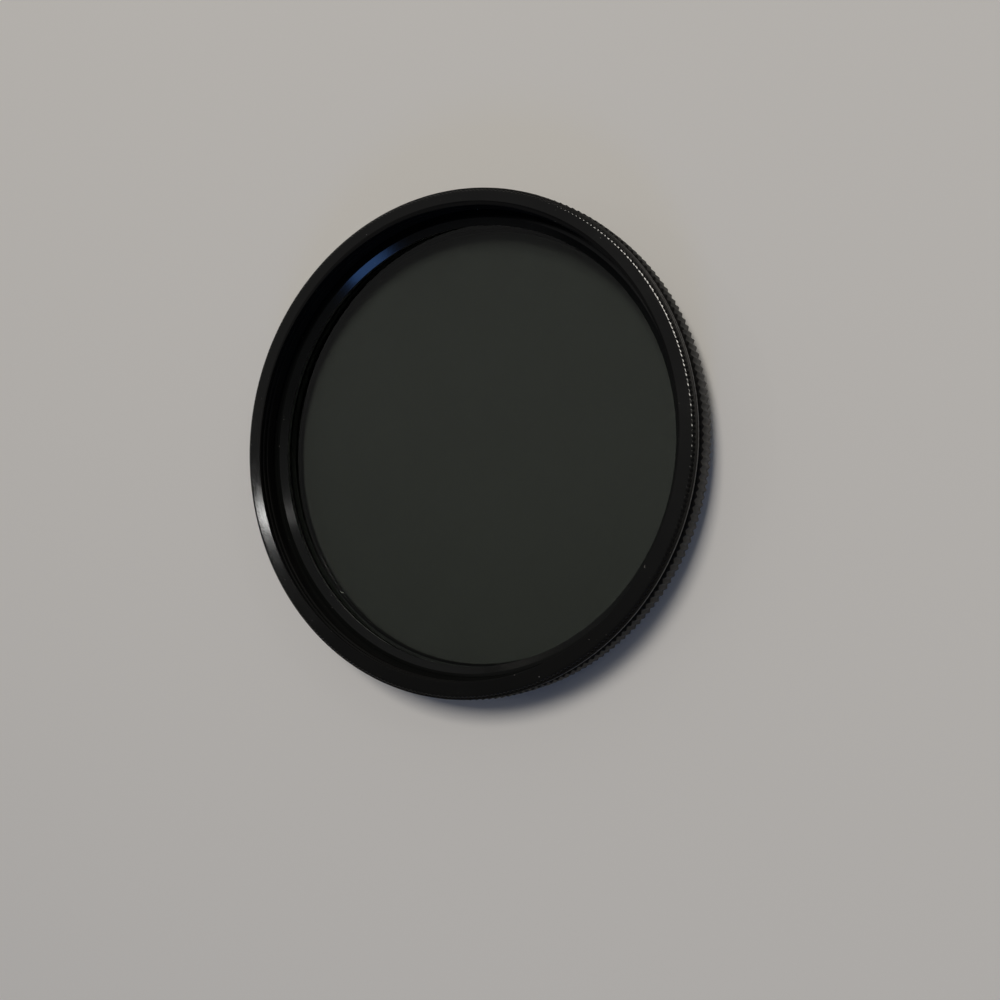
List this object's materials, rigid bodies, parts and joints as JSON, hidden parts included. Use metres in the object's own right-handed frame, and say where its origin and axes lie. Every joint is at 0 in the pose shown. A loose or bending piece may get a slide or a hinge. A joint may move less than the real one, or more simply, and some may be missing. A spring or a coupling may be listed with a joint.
{
  "type": "screw-in lens filter",
  "caption": "Round turning polarising filter: a knurled rear ring with a male thread, a front ring that spins in it and carries the glass, and a female thread in front.",
  "frame": {"origin": "on the optical axis, at the rear end of the male thread, on which the filter lies", "axes": "+Z along the optical axis towards the front; X and Y span the rings"},
  "size_m": [0.062, 0.062, 0.0075],
  "materials": {
    "black_anodised": "black anodised, semi-gloss",
    "black_anodised_inner": "black anodised, satin",
    "spring_wire": "drawn spring wire",
    "pane_glass": "polished",
    "polarising_film": "neutral grey film",
    "retarder_film": "clear film"
  },
  "bodies": {
    "rear": {"rear_ring": "black_anodised", "snap_ring": "spring_wire"},
    "front": {"front_ring": "black_anodised", "glass_retaining_ring": "black_anodised_inner", "front_glass": "pane_glass", "polarising_film": "polarising_film", "retarder_film": "retarder_film", "rear_glass": "pane_glass"}
  },
  "joints": [
    {"name": "front_ring_turn", "type": "hinge", "parent": "rear", "child": "front", "pos_m": [0, 0, 0.0045], "axis": [0, 0, 1], "continuous": true}
  ]
}
